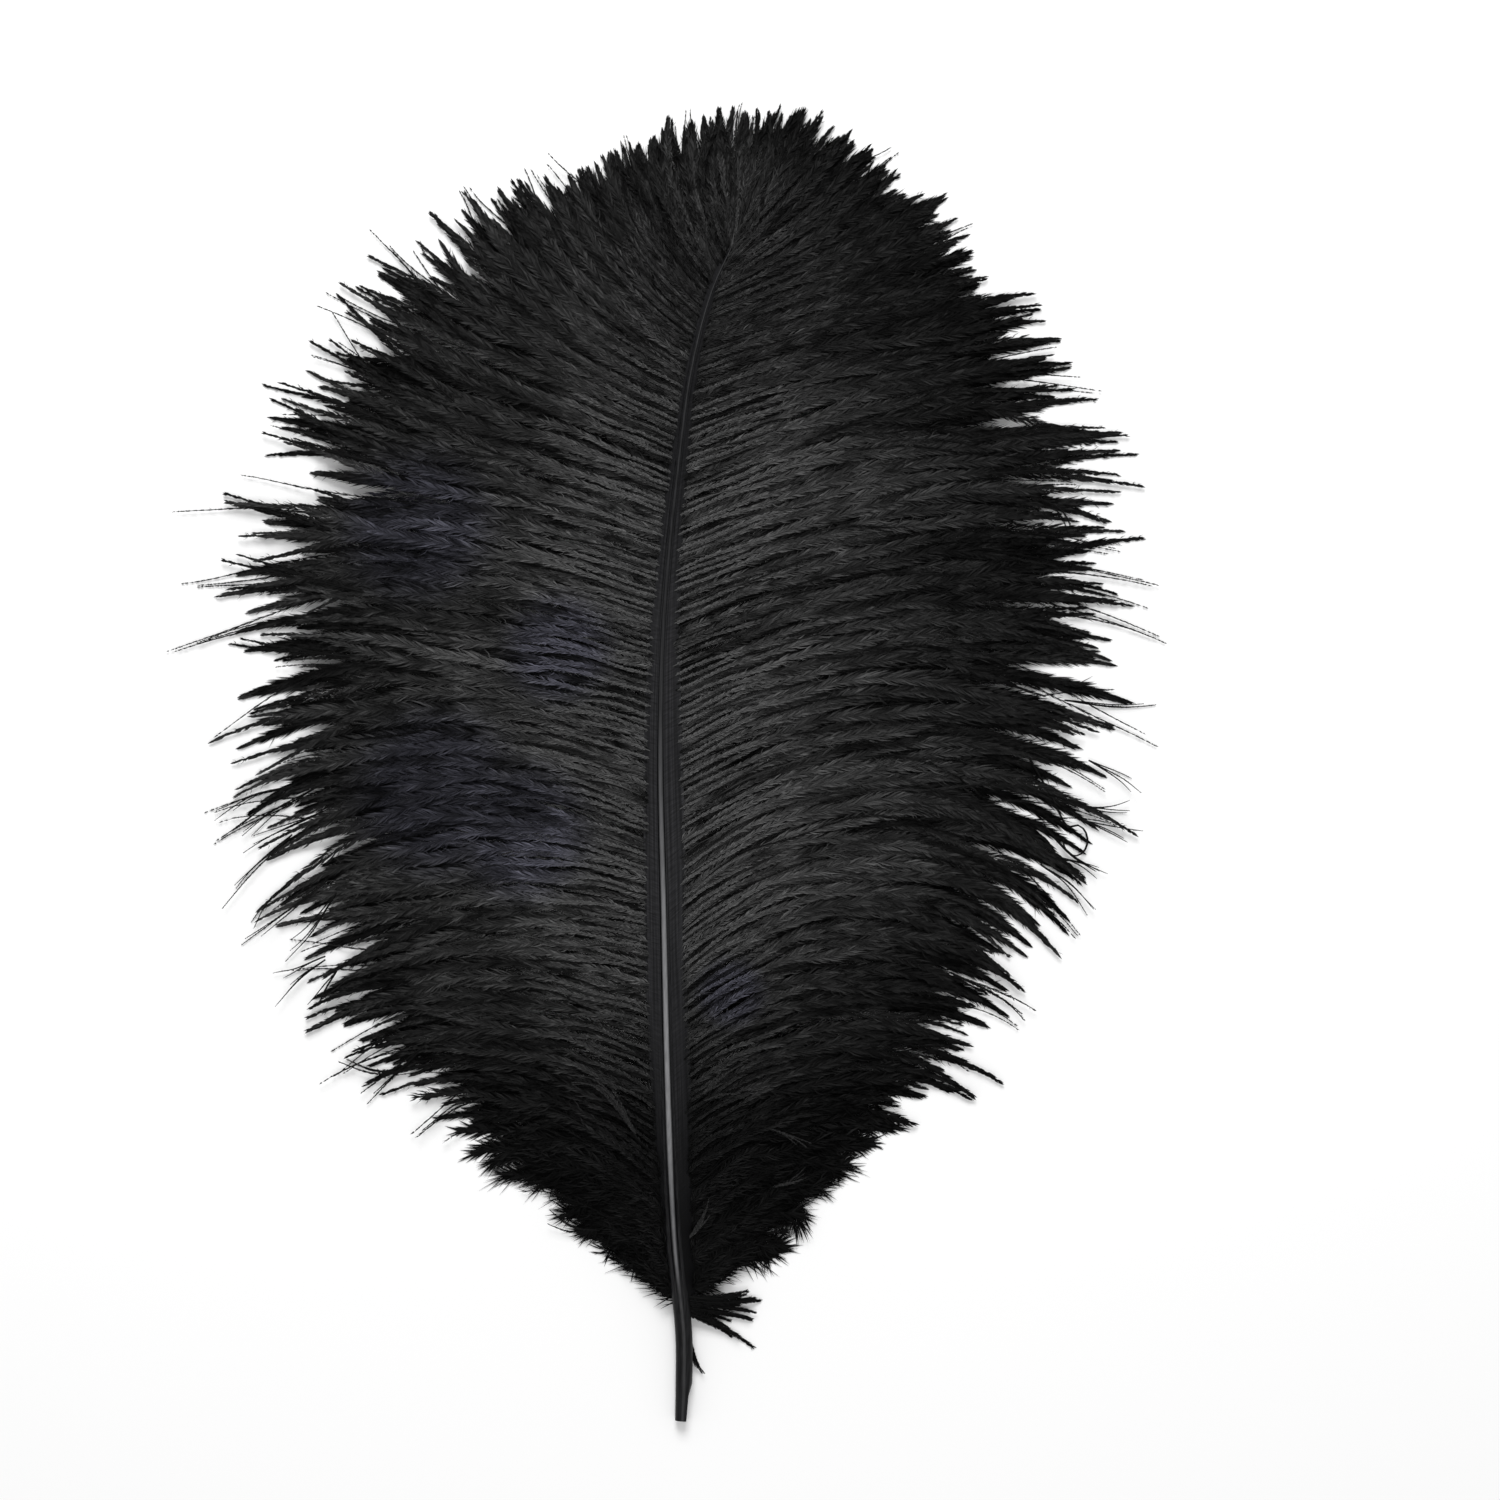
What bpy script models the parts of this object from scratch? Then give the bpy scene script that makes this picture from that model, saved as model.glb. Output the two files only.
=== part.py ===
"""An ostrich plume, dyed black, lying on a surface with its convex side up.

It grew as one piece: a shaft, which is a bare quill below and the rachis above, with the barbs
that grow from both its sides clumped into locks, and a short torn tuft left beside the quill.
Metres, +Z up, the tip of the feather towards +Y, the origin under the middle of the plume.
"""

import math
import random

import bmesh
import bpy
import numpy as np
from mathutils import Matrix, Vector

# The shaft: place along Y, sideways place X, height Z, half width and half height
SHAFT = np.array([
    (-0.1387, 0.0037, 0.00152, 0.00155, 0.00150),
    (-0.1320, 0.0040, 0.00165, 0.00175, 0.00160),
    (-0.1200, 0.0040, 0.00260, 0.00180, 0.00160),
    (-0.1000, 0.0021, 0.00560, 0.00175, 0.00150),
    (-0.0710, 0.0009, 0.01000, 0.00165, 0.00145),
    (-0.0290, 0.0000, 0.01450, 0.00150, 0.00135),
    (0.0000, -0.0006, 0.01620, 0.00135, 0.00125),
    (0.0240, -0.0002, 0.01650, 0.00120, 0.00115),
    (0.0430, 0.0011, 0.01610, 0.00105, 0.00105),
    (0.0620, 0.0031, 0.01520, 0.00090, 0.00095),
    (0.0810, 0.0056, 0.01360, 0.00075, 0.00085),
    (0.0980, 0.0098, 0.01140, 0.00055, 0.00070),
    (0.1120, 0.0160, 0.00900, 0.00035, 0.00050),
])
SHAFT_RINGS = 36
SHAFT_SIDES = 12
RUN_STEP = 0.0005  # half the stretch over which the shaft's direction is taken

# How the locks grow, from the quill to the tip: share of the vane, place of the root along Y, then
# for the right and the left side the angle above the horizontal where a lock leaves the shaft, the
# angle at its tip, and its length
GROWTH = np.array([
    (0.00, -0.1140, 38, 20, 0.027, 42, 22, 0.024),
    (0.05, -0.1060, 44, 2, 0.039, 48, -2, 0.034),
    (0.11, -0.0970, 46, -9, 0.050, 48, -16, 0.045),
    (0.18, -0.0850, 44, -18, 0.058, 44, -22, 0.060),
    (0.25, -0.0720, 40, -24, 0.070, 36, -30, 0.069),
    (0.33, -0.0560, 42, -38, 0.082, 24, -30, 0.075),
    (0.42, -0.0370, 44, -46, 0.092, 16, -33, 0.083),
    (0.52, -0.0140, 35, -29, 0.099, 25, -34, 0.092),
    (0.62, 0.0110, 27, -17, 0.1015, 18, -18, 0.0960),
    (0.71, 0.0360, 24, -6, 0.0990, 19, -1, 0.0960),
    (0.79, 0.0590, 22, 2, 0.090, 22, 18, 0.086),
    (0.86, 0.0770, 20, 8, 0.077, 27, 46, 0.067),
    (0.91, 0.0900, 21, 16, 0.062, 38, 72, 0.049),
    (0.95, 0.0995, 32, 33, 0.047, 50, 86, 0.038),
    (0.98, 0.1060, 56, 58, 0.036, 70, 93, 0.032),
    (1.00, 0.1105, 80, 84, 0.0282, 100, 96, 0.0282),
])
RIGHT, LEFT = 2, 5  # the column of GROWTH where each side starts
LOCKS_A_SIDE = 32
LOCK_ROWS = 12
STEPS_A_ROW = 4
TURN_POWER = 1.15  # above 1, a lock turns more towards its tip
TIP_STRETCH = 0.14  # how much longer or shorter than the rule a lock may be, past its parting
SPLIT_ROWS = (7, 9)  # the rows between which a lock parts from its neighbour
NARROW_POWER = 0.85

# The vane: an arched sheet of locks that drapes from the shaft to the surface
VANE_THICKNESS = 0.0024
LONG_LOCK = 0.098  # the length at which a lock has the full thickness
SHORT_LOCK_SHARE = 0.4  # of the full thickness, on the shortest locks
ROOT_SHARE = 0.6  # of the shaft's half height, the thickness of the vane where it leaves the shaft
FULL_AT = 0.25  # where along a lock the vane has its full thickness
THIN_FROM = 0.85  # and where it starts to thin towards the tip
TIP_SHARE = 0.22  # of the full thickness, at the tip
ARCH_POWER = 1.8  # 1 is a straight slope, and more is a rounder arch
LAND_SHARE = 0.86  # where along a lock it comes down to the surface
LAND_SOFTNESS = 0.0009
LIE_HEIGHT = 0.0007  # the top of a lock where it lies on the surface
LEAST_RISE = 0.3  # of a point's normal, so that a steep one isn't thickened without end
LIFT = (0.0014, 0.0045)  # the least and most that a long lock's tip stands off the surface
LIFTED_EVERY = 3  # one lock in three has its tip off the surface
RIDGE_SHARE = 0.2  # of a lock's width, how far its middle stands above the seams beside it
RIDGE_FROM, RIDGE_TO = 0.06, 0.3  # the barb bases are packed smooth beside the shaft

# The torn tuft beside the quill: length and angle above the horizontal of each of its strands
TUFT_ROOT_Y = -0.1140
TUFT_STRANDS = ((0.0168, 9), (0.0158, -7), (0.0168, -32), (0.0110, -20))
TUFT_RADII = (0.0011, 0.0003)
TUFT_SIDES = 6


def clear_scene():
    for obj in list(bpy.data.objects):
        bpy.data.objects.remove(obj)


def at(table, place):
    """The whole row at one value of the first column, on a smooth curve through the table's rows."""
    first = table[:, 0]
    i = int(np.clip(np.searchsorted(first, place) - 1, 0, len(first) - 2))
    before, after = max(i - 1, 0), min(i + 2, len(first) - 1)
    step = first[i + 1] - first[i]
    s = (place - first[i]) / step
    rise_in = (table[i + 1] - table[before]) / (first[i + 1] - first[before]) * step
    rise_out = (table[after] - table[i]) / (first[after] - first[i]) * step
    return (
        (2 * s**3 - 3 * s**2 + 1) * table[i]
        + (s**3 - 2 * s**2 + s) * rise_in
        + (3 * s**2 - 2 * s**3) * table[i + 1]
        + (s**3 - s**2) * rise_out
    )


def ease(low, high, value):
    """0 below low and 1 above high, with a smooth rise between them."""
    s = min(max((value - low) / (high - low), 0.0), 1.0)
    return s * s * (3 - 2 * s)


def soft_max(a, b, softness):
    return (a + b + math.hypot(a - b, softness)) / 2


def keratin():
    """Dyed keratin: near black, with the soft gloss of horn."""
    material = bpy.data.materials.new("dyed_keratin")
    material.use_nodes = True
    shader = material.node_tree.nodes["Principled BSDF"]
    shader.inputs["Base Color"].default_value = (0.012, 0.012, 0.014, 1)
    shader.inputs["Roughness"].default_value = 0.55
    shader.inputs["Metallic"].default_value = 0
    return material


def new_object(name, bm):
    mesh = bpy.data.meshes.new(name)
    bm.to_mesh(mesh)
    bm.free()
    obj = bpy.data.objects.new(name, mesh)
    bpy.context.scene.collection.objects.link(obj)
    return obj


def shaft_point(y):
    row = at(SHAFT, y)
    return Vector((row[1], y, row[2]))


def shaft_ring(bm, y, capped):
    """One elliptical section of the shaft, square to its run."""
    half_width, half_height = at(SHAFT, y)[3:]
    run = shaft_point(y + RUN_STEP) - shaft_point(y - RUN_STEP)
    across = run.cross(Vector((0, 0, 1))).normalized()
    turn = Matrix((across, run.cross(across).normalized(), -run.normalized())).transposed()
    size = Matrix.Diagonal((half_width, half_height, 1, 1))
    place = Matrix.Translation(shaft_point(y)) @ turn.to_4x4() @ size
    ring = bmesh.ops.create_circle(
        bm, cap_ends=capped, segments=SHAFT_SIDES, radius=1, matrix=place
    )
    return {edge for vert in ring["verts"] for edge in vert.link_edges}


def shaft():
    """The quill and the rachis, tapering from the cut end to the tip."""
    bm = bmesh.new()
    places = np.linspace(SHAFT[0, 0], SHAFT[-1, 0], SHAFT_RINGS)
    rings = [shaft_ring(bm, y, y in (places[0], places[-1])) for y in places]
    for low, high in zip(rings, rings[1:]):
        bmesh.ops.bridge_loops(bm, edges=list(low | high))
    bmesh.ops.recalc_face_normals(bm, faces=bm.faces)
    return new_object("shaft", bm)


def lock_line(side, share, free_from=LOCK_ROWS, stretch=1.0, lift=0.0):
    """Points from the shaft to the tip along one barb, draped down to the surface."""
    row = at(GROWTH, share)
    leave, arrive, length = row[side : side + 3]
    outward = 1 if side == RIGHT else -1
    root = shaft_point(row[1])
    steps = LOCK_ROWS * STEPS_A_ROW
    points, x, y = [root], root.x, root.y
    for j in range(1, steps + 1):
        u = j / steps
        angle = math.radians(leave + (arrive - leave) * u**TURN_POWER)
        stride = length / steps * (stretch if j > free_from * STEPS_A_ROW else 1)
        x += outward * math.cos(angle) * stride
        y += math.sin(angle) * stride
        if j % STEPS_A_ROW == 0:
            arch = root.z * (1 - (u / LAND_SHARE) ** ARCH_POWER)
            z = soft_max(arch, LIE_HEIGHT, LAND_SOFTNESS) + lift * ease(0.5, 1.0, u)
            points.append(Vector((x, y, z)))
    return points


def narrowing(row, split):
    """The share of its full half width that a lock keeps at a row, past the row where it parts."""
    gone = max(row - split, 0) / (LOCK_ROWS - split)
    return 1 - gone**NARROW_POWER


def lock_strip(side, index, splits, stretch, lift):
    """Rows of (seam, ridge, seam) across the top of one lock, which ends in a point."""
    seams = [lock_line(side, (index + k) / LOCKS_A_SIDE) for k in (0, 1)]
    rule = lock_line(side, (index + 0.5) / LOCKS_A_SIDE)
    middle = lock_line(side, (index + 0.5) / LOCKS_A_SIDE, max(splits), stretch, lift)
    rows = []
    for j in range(LOCK_ROWS + 1):
        u = j / LOCK_ROWS
        width = (seams[1][j] - seams[0][j]).length
        rise = RIDGE_SHARE * width * ease(RIDGE_FROM, RIDGE_TO, u) * (1 - u * u)
        ridge = middle[j] + Vector((0, 0, rise))
        low, high = (
            seam[j] if j <= split else ridge + (seam[j] - rule[j]) * narrowing(j, split)
            for seam, split in zip(seams, splits)
        )
        rows.append((low, ridge, high))
    return rows


def thickness_share(u, root_y, length):
    """How thick the vane is along a lock, as a share of its full thickness."""
    root = ROOT_SHARE * at(SHAFT, root_y)[4] / VANE_THICKNESS
    full = max(length / LONG_LOCK, SHORT_LOCK_SHARE)
    grown = root + (full - root) * ease(0, FULL_AT, u)
    return grown * (1 - (1 - TIP_SHARE) * ease(THIN_FROM, 1, u))


def add_lock(bm, layer, side, index, splits, stretch, lift):
    """Adds the top of one lock, with its thickness as a weight on each point."""
    growth = at(GROWTH, (index + 0.5) / LOCKS_A_SIDE)
    rows = lock_strip(side, index, splits, stretch, lift)
    grid = []
    for j, row in enumerate(rows):
        verts = [bm.verts.new(p) for p in (row if j < LOCK_ROWS else row[1:2])]
        for vert in verts:
            vert[layer][0] = thickness_share(j / LOCK_ROWS, growth[1], growth[side + 2])
        grid.append(verts)
    for a, b in zip(grid, grid[1:]):
        for k in (0, 1):
            corners = [a[k], *b[k : k + 2], a[k + 1]] if len(b) > 1 else [a[k], b[0], a[k + 1]]
            bm.faces.new(corners if side == RIGHT else corners[::-1])


def rest_on_surface(bm, layer):
    """Thins the vane where its underside would sink, so that it lies flat on the surface there."""
    bm.normal_update()
    for vert in bm.verts:
        room = vert.co.z / (max(vert.normal.z, LEAST_RISE) * VANE_THICKNESS)
        vert[layer][0] = min(vert[layer][0], room)


def vane():
    """All the locks of both sides, welded where they share a seam, as one arched sheet."""
    chance = random.Random(5)
    bm = bmesh.new()
    layer = bm.verts.layers.deform.verify()
    tip_split = chance.randint(*SPLIT_ROWS)
    for side in (RIGHT, LEFT):
        splits = [chance.randint(*SPLIT_ROWS) for _ in range(LOCKS_A_SIDE)] + [tip_split]
        for index in range(LOCKS_A_SIDE):
            stretch = 1 + chance.uniform(-TIP_STRETCH, TIP_STRETCH)
            lifted = index % LIFTED_EVERY == 0
            size = at(GROWTH, (index + 0.5) / LOCKS_A_SIDE)[side + 2] / LONG_LOCK
            lift = chance.uniform(*LIFT) * size if lifted else 0
            add_lock(bm, layer, side, index, splits[index : index + 2], stretch, lift)
    bmesh.ops.remove_doubles(bm, verts=bm.verts, dist=1e-6)
    rest_on_surface(bm, layer)
    sheet = new_object("feather", bm)
    sheet.vertex_groups.new(name="thickness")
    return sheet


def tuft():
    """The torn strands beside the quill, each a thin spike from inside the shaft."""
    strands = []
    for number, (length, angle) in enumerate(TUFT_STRANDS):
        bm = bmesh.new()
        # A cone stands on its middle, so it is turned to lie along its angle and moved out by half
        turn = Matrix.Rotation(math.radians(angle), 4, "Z") @ Matrix.Rotation(math.pi / 2, 4, "Y")
        out = turn @ Vector((0, 0, length / 2))
        bmesh.ops.create_cone(
            bm,
            cap_ends=True,
            segments=TUFT_SIDES,
            radius1=TUFT_RADII[0],
            radius2=TUFT_RADII[1],
            depth=length,
            matrix=Matrix.Translation(shaft_point(TUFT_ROOT_Y) + out) @ turn,
        )
        strands.append(new_object(f"tuft_strand_{number + 1}", bm))
    return strands


def thicken(sheet):
    wall = sheet.modifiers.new("vane thickness", "SOLIDIFY")
    wall.thickness = VANE_THICKNESS
    wall.offset = -1
    wall.vertex_group = "thickness"
    wall.thickness_vertex_group = 0


def join(obj, other):
    """Fuses a shape that grows from the feather into it."""
    other.hide_render = True
    other.display_type = "WIRE"
    step = obj.modifiers.new(f"join {other.name}", "BOOLEAN")
    step.operation = "UNION"
    step.solver = "EXACT"
    step.object = other


def build():
    clear_scene()
    feather = vane()
    thicken(feather)
    join(feather, shaft())
    for strand in tuft():
        join(feather, strand)
    feather.data.materials.append(keratin())
    feather.data.shade_smooth()
    feather.data.set_sharp_from_angle(angle=math.radians(50))


build()
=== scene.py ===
# %% [markdown]
# # A black ostrich plume
#
# A plume like this is one grown thing: a shaft of horn, and on both sides of it some hundreds of
# barbs, each a thin stem fringed with long soft barbules. The fringes of neighbours cling together,
# so the eye sees ribs beside the shaft, a soft dark mass further out, and pointed locks at the edge.
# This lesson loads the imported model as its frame, and then models the shaft as one would by hand
# and makes the barbs as joined meshes worked out from arrays.

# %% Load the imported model
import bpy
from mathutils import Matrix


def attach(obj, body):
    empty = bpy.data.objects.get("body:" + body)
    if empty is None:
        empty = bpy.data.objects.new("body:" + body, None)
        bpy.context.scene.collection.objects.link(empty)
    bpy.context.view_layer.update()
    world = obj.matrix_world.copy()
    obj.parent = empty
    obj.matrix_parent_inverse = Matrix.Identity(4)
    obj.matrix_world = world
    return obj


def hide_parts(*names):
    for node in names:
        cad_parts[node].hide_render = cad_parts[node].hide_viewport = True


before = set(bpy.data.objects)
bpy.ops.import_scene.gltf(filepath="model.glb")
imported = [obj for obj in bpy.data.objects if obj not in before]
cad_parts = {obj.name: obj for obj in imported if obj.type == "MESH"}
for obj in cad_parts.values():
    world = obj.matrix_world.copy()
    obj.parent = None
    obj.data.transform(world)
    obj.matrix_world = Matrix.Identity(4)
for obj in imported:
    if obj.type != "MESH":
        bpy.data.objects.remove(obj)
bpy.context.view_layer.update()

import math

import bpy
import numpy as np

# %% [markdown]
# ## The plan of the plume
#
# Two short tables say how the plume grew, in the same way as the solid's do. The first follows the
# shaft from the cut end of the quill to the tip. The second follows the barbs from the lowest to the
# one at the tip, for the right side and the left: where they leave the shaft, at which angle above
# the horizontal they leave and end, and how long they are. The shaft, its bands and all the layers
# are read from these, so a change here moves them together.

# %% The tables
MM = 0.001
# Place along Y, sideways place X, height Z, half width and half height
SHAFT = np.array([
    (-0.1387, 0.0037, 0.00152, 0.00155, 0.00150),
    (-0.1320, 0.0040, 0.00165, 0.00175, 0.00160),
    (-0.1200, 0.0040, 0.00260, 0.00180, 0.00160),
    (-0.1000, 0.0021, 0.00560, 0.00175, 0.00150),
    (-0.0710, 0.0009, 0.01000, 0.00165, 0.00145),
    (-0.0290, 0.0000, 0.01450, 0.00150, 0.00135),
    (0.0000, -0.0006, 0.01620, 0.00135, 0.00125),
    (0.0240, -0.0002, 0.01650, 0.00120, 0.00115),
    (0.0430, 0.0011, 0.01610, 0.00105, 0.00105),
    (0.0620, 0.0031, 0.01520, 0.00090, 0.00095),
    (0.0810, 0.0056, 0.01360, 0.00075, 0.00085),
    (0.0980, 0.0098, 0.01140, 0.00055, 0.00070),
    (0.1120, 0.0160, 0.00900, 0.00035, 0.00050),
])
# Share of the vane, place of the root along Y, then for the right side and the left the angle where
# a barb leaves, the angle at its tip, and its length
GROWTH = np.array([
    (0.00, -0.1140, 38, 20, 0.027, 42, 22, 0.024),
    (0.05, -0.1060, 44, 2, 0.039, 48, -2, 0.034),
    (0.11, -0.0970, 46, -9, 0.050, 48, -16, 0.045),
    (0.18, -0.0850, 44, -18, 0.058, 44, -22, 0.060),
    (0.25, -0.0720, 40, -24, 0.070, 36, -30, 0.069),
    (0.33, -0.0560, 42, -38, 0.082, 24, -30, 0.075),
    (0.42, -0.0370, 44, -46, 0.092, 16, -33, 0.083),
    (0.52, -0.0140, 35, -29, 0.099, 25, -34, 0.092),
    (0.62, 0.0110, 27, -17, 0.1015, 18, -18, 0.0960),
    (0.71, 0.0360, 24, -6, 0.0990, 19, -1, 0.0960),
    (0.79, 0.0590, 22, 2, 0.090, 22, 18, 0.086),
    (0.86, 0.0770, 20, 8, 0.077, 27, 46, 0.067),
    (0.91, 0.0900, 21, 16, 0.062, 38, 72, 0.049),
    (0.95, 0.0995, 32, 33, 0.047, 50, 86, 0.038),
    (0.98, 0.1060, 56, 58, 0.036, 70, 93, 0.032),
    (1.00, 0.1105, 80, 84, 0.0282, 100, 96, 0.0282),
])
RIGHT, LEFT = 2, 5  # the column of GROWTH where each side starts
TURN_POWER = 1.15  # above 1, a barb turns more towards its tip
ARCH_POWER = 1.8  # 1 is a straight slope down from the shaft, and more is a rounder arch
LAND_SHARE = 0.86  # where along a barb it comes down to the surface
LIE_HEIGHT = 0.0007
LAND_SOFTNESS = 0.0009


def read_table(table, places):
    """Rows of a table at values of its first column, on smooth curves through the table's rows."""
    places = np.asarray(places, float)
    first = table[:, 0]
    i = np.clip(np.searchsorted(first, places) - 1, 0, len(first) - 2)
    before, after = np.maximum(i - 1, 0), np.minimum(i + 2, len(first) - 1)
    step = (first[i + 1] - first[i])[:, None]
    s = (places - first[i])[:, None] / step
    rise_in = (table[i + 1] - table[before]) / (first[i + 1] - first[before])[:, None] * step
    rise_out = (table[after] - table[i]) / (first[after] - first[i])[:, None] * step
    return (
        (2 * s**3 - 3 * s**2 + 1) * table[i]
        + (s**3 - 2 * s**2 + s) * rise_in
        + (3 * s**2 - 2 * s**3) * table[i + 1]
        + (s**3 - s**2) * rise_out
    )


def ease(low, high, value):
    """0 below low and 1 above high, with a smooth rise between them."""
    s = np.clip((value - low) / (high - low), 0, 1)
    return s * s * (3 - 2 * s)


print("shaft length mm", round((SHAFT[-1, 0] - SHAFT[0, 0]) / MM, 1))

# %% [markdown]
# ## A map of the vane
#
# The vane drapes like cloth from the shaft to the table. For each side a grid holds its surface: one
# direction of the grid is the share along the shaft, and the other runs out along a barb. A barb is
# then a line across the grid, and a barb that leans towards its neighbours is a line that drifts in
# share as it runs out, which is how the locks are formed below.

# %% The grid of each side
SHARES, OUT_STEPS = 400, 92
OUT_END = 1.15  # some hairs run on past the usual length


def vane_grid(side):
    shares = np.linspace(0, 1, SHARES + 1)
    rows = read_table(GROWTH, shares)
    leave, arrive, length = (rows[:, side + k][:, None] for k in range(3))
    shaft = read_table(SHAFT, rows[:, 1])
    out = np.linspace(0, OUT_END, OUT_STEPS + 1)
    middles = (out[1:] + out[:-1]) / 2
    angle = np.radians(leave + (arrive - leave) * middles**TURN_POWER)
    stride = length * OUT_END / OUT_STEPS
    outward = 1 if side == RIGHT else -1
    grid = np.zeros((SHARES + 1, OUT_STEPS + 1, 3))
    grid[:, 1:, 0] = np.cumsum(outward * np.cos(angle) * stride, axis=1)
    grid[:, 1:, 1] = np.cumsum(np.sin(angle) * stride, axis=1)
    grid[:, :, 0] += shaft[:, 1:2]
    grid[:, :, 1] += rows[:, 1:2]
    arch = shaft[:, 2:3] * (1 - (out[None, :] / LAND_SHARE) ** ARCH_POWER)
    grid[:, :, 2] = (arch + LIE_HEIGHT + np.hypot(arch - LIE_HEIGHT, LAND_SOFTNESS)) / 2
    return grid


VANE = {side: vane_grid(side) for side in (RIGHT, LEFT)}


def on_vane(side, share, out):
    """The place on the vane at a share along the shaft and a share of the way out."""
    a = np.clip(share, 0, 1) * SHARES
    b = np.clip(out / OUT_END, 0, 1) * OUT_STEPS
    i = np.minimum(a.astype(int), SHARES - 1)
    j = np.minimum(b.astype(int), OUT_STEPS - 1)
    fa, fb = (a - i)[..., None], (b - j)[..., None]
    grid = VANE[side]
    low = grid[i, j] * (1 - fb) + grid[i, j + 1] * fb
    high = grid[i + 1, j] * (1 - fb) + grid[i + 1, j + 1] * fb
    return low * (1 - fa) + high * fa


print("right reach mm", np.round(VANE[RIGHT][..., 0].max() / MM, 1))
print("left reach mm", np.round(VANE[LEFT][..., 0].min() / MM, 1))

# %% [markdown]
# ## Camera, floor and light
#
# The plume lies down, so the camera looks straight down on it. A long lens nearly a metre above it
# keeps the arch from swelling towards the eye. The paper under it is near white. The light is that
# of a studio box: a broad lamp past the tip of the plume, which rakes across the ribs and shows
# them, a second one on the quill's side whose reflection runs along the shaft, and an even fill
# from all sides.

# %% Camera
VIEW_WIDTH = 0.3173  # what the square picture takes in
VIEW_MIDDLE = (0.01798, 0.00286)
LENS_MM, SENSOR_MM = 100, 36

camera = bpy.data.objects.new("camera", bpy.data.cameras.new("camera"))
bpy.context.scene.collection.objects.link(camera)
camera.data.lens = LENS_MM
camera.data.sensor_width = SENSOR_MM
camera.location = (*VIEW_MIDDLE, VIEW_WIDTH * LENS_MM / SENSOR_MM)
camera.data.clip_start = 0.01
bpy.context.scene.camera = camera
print("camera height m", round(camera.location.z, 3))

# %% [markdown]
# Two small helpers serve all the materials: one turns a screen colour to the linear values that a
# shader takes, and one adds a node with its settings and links.

# %% Colours and material nodes
SRGB_KNEE, SRGB_LINE, SRGB_SHIFT, SRGB_POWER = 0.04045, 12.92, 0.055, 2.4


def hex_colour(code):
    """An sRGB hex colour as linear values with alpha."""
    parts = [int(code[k : k + 2], 16) / 255 for k in (1, 3, 5)]
    linear = [
        p / SRGB_LINE if p <= SRGB_KNEE else ((p + SRGB_SHIFT) / (1 + SRGB_SHIFT)) ** SRGB_POWER
        for p in parts
    ]
    return (*linear, 1)


def new_material(name):
    """A material with its shader, and a function that adds a node with its settings and links."""
    material = bpy.data.materials.new(name)
    material.use_nodes = True
    tree = material.node_tree

    def add(kind, settings=None, **inputs):
        node = tree.nodes.new(kind)
        for key, value in (settings or {}).items():
            setattr(node, key, value)
        for key, value in inputs.items():
            socket = node.inputs[int(key[1:]) if key[1:].isdigit() else key.replace("_", " ")]
            if isinstance(value, bpy.types.NodeSocket):
                tree.links.new(value, socket)
            else:
                socket.default_value = value
        return node

    return material, tree.nodes["Principled BSDF"], add, tree.links


print("middle grey, linear", round(hex_colour("#808080")[0], 4))

# %% [markdown]
# The floor is a sheet of matt paper, far larger than the plume. The first lamp gives most of the
# light that shows the ribs, and the second is weaker and serves the shaft.

# %% Floor and lights
FLOOR_SIZE = 6.0
WORLD_FILL = 0.55

bpy.ops.object.select_all(action="DESELECT")
bpy.ops.mesh.primitive_plane_add(size=FLOOR_SIZE)
floor = bpy.context.object
floor.name = "floor"
paper, shader, *_ = new_material("white_paper")
shader.inputs["Base Color"].default_value = hex_colour("#f6f6f6")
shader.inputs["Roughness"].default_value = 0.9
shader.inputs["Specular IOR Level"].default_value = 0.1
floor.data.materials.append(paper)


def studio_lamp(name, place, aim, size, watts):
    lamp = bpy.data.objects.new(name, bpy.data.lights.new(name, "AREA"))
    bpy.context.scene.collection.objects.link(lamp)
    lamp.data.shape = "SQUARE"
    lamp.data.size = size
    lamp.data.energy = watts
    lamp.location = place
    way = np.subtract(aim, place)
    lamp.rotation_euler = (
        math.acos(-way[2] / np.linalg.norm(way)), 0, math.atan2(way[1], way[0]) - math.pi / 2
    )
    return lamp


studio_lamp("lamp_past_the_tip", (-0.05, 0.75, 0.75), (0, 0, 0), 0.5, 8.5)
studio_lamp("lamp_by_the_quill", (0.1, -0.42, 1.0), (0, 0, 0), 0.35, 1.6)
world = bpy.data.worlds.new("studio")
world.use_nodes = True
world.node_tree.nodes["Background"].inputs["Color"].default_value = (1, 1, 1, 1)
world.node_tree.nodes["Background"].inputs["Strength"].default_value = WORLD_FILL
bpy.context.scene.world = world
bpy.context.scene.view_settings.view_transform = "Standard"

# %% [markdown]
# ## Materials
#
# Feathers are keratin, as horn and nails are. The shaft is solid horn, dyed black and naturally
# polished. Its ridge is painted greyer than the rest: partly a ridge that took less dye, and partly a
# painted highlight, which is why it fades to the dark dye towards both ends. A barb is the same keratin
# in threads far thinner than a hair: the dye goes all the way through, and its colour differs at random
# from barb to barb. On top of that its tone carries painted light: a painted highlight on the ribs
# beside the shaft, and painted shade in the deeper layers and where the vane turns away from the lamp.
# Where the dye took less, the black leans to blue. Both change along a barb, so the meshes carry them
# as attributes named tone and blue.

# %% Dyed horn for the shaft, with a painted highlight on its ridge


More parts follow.
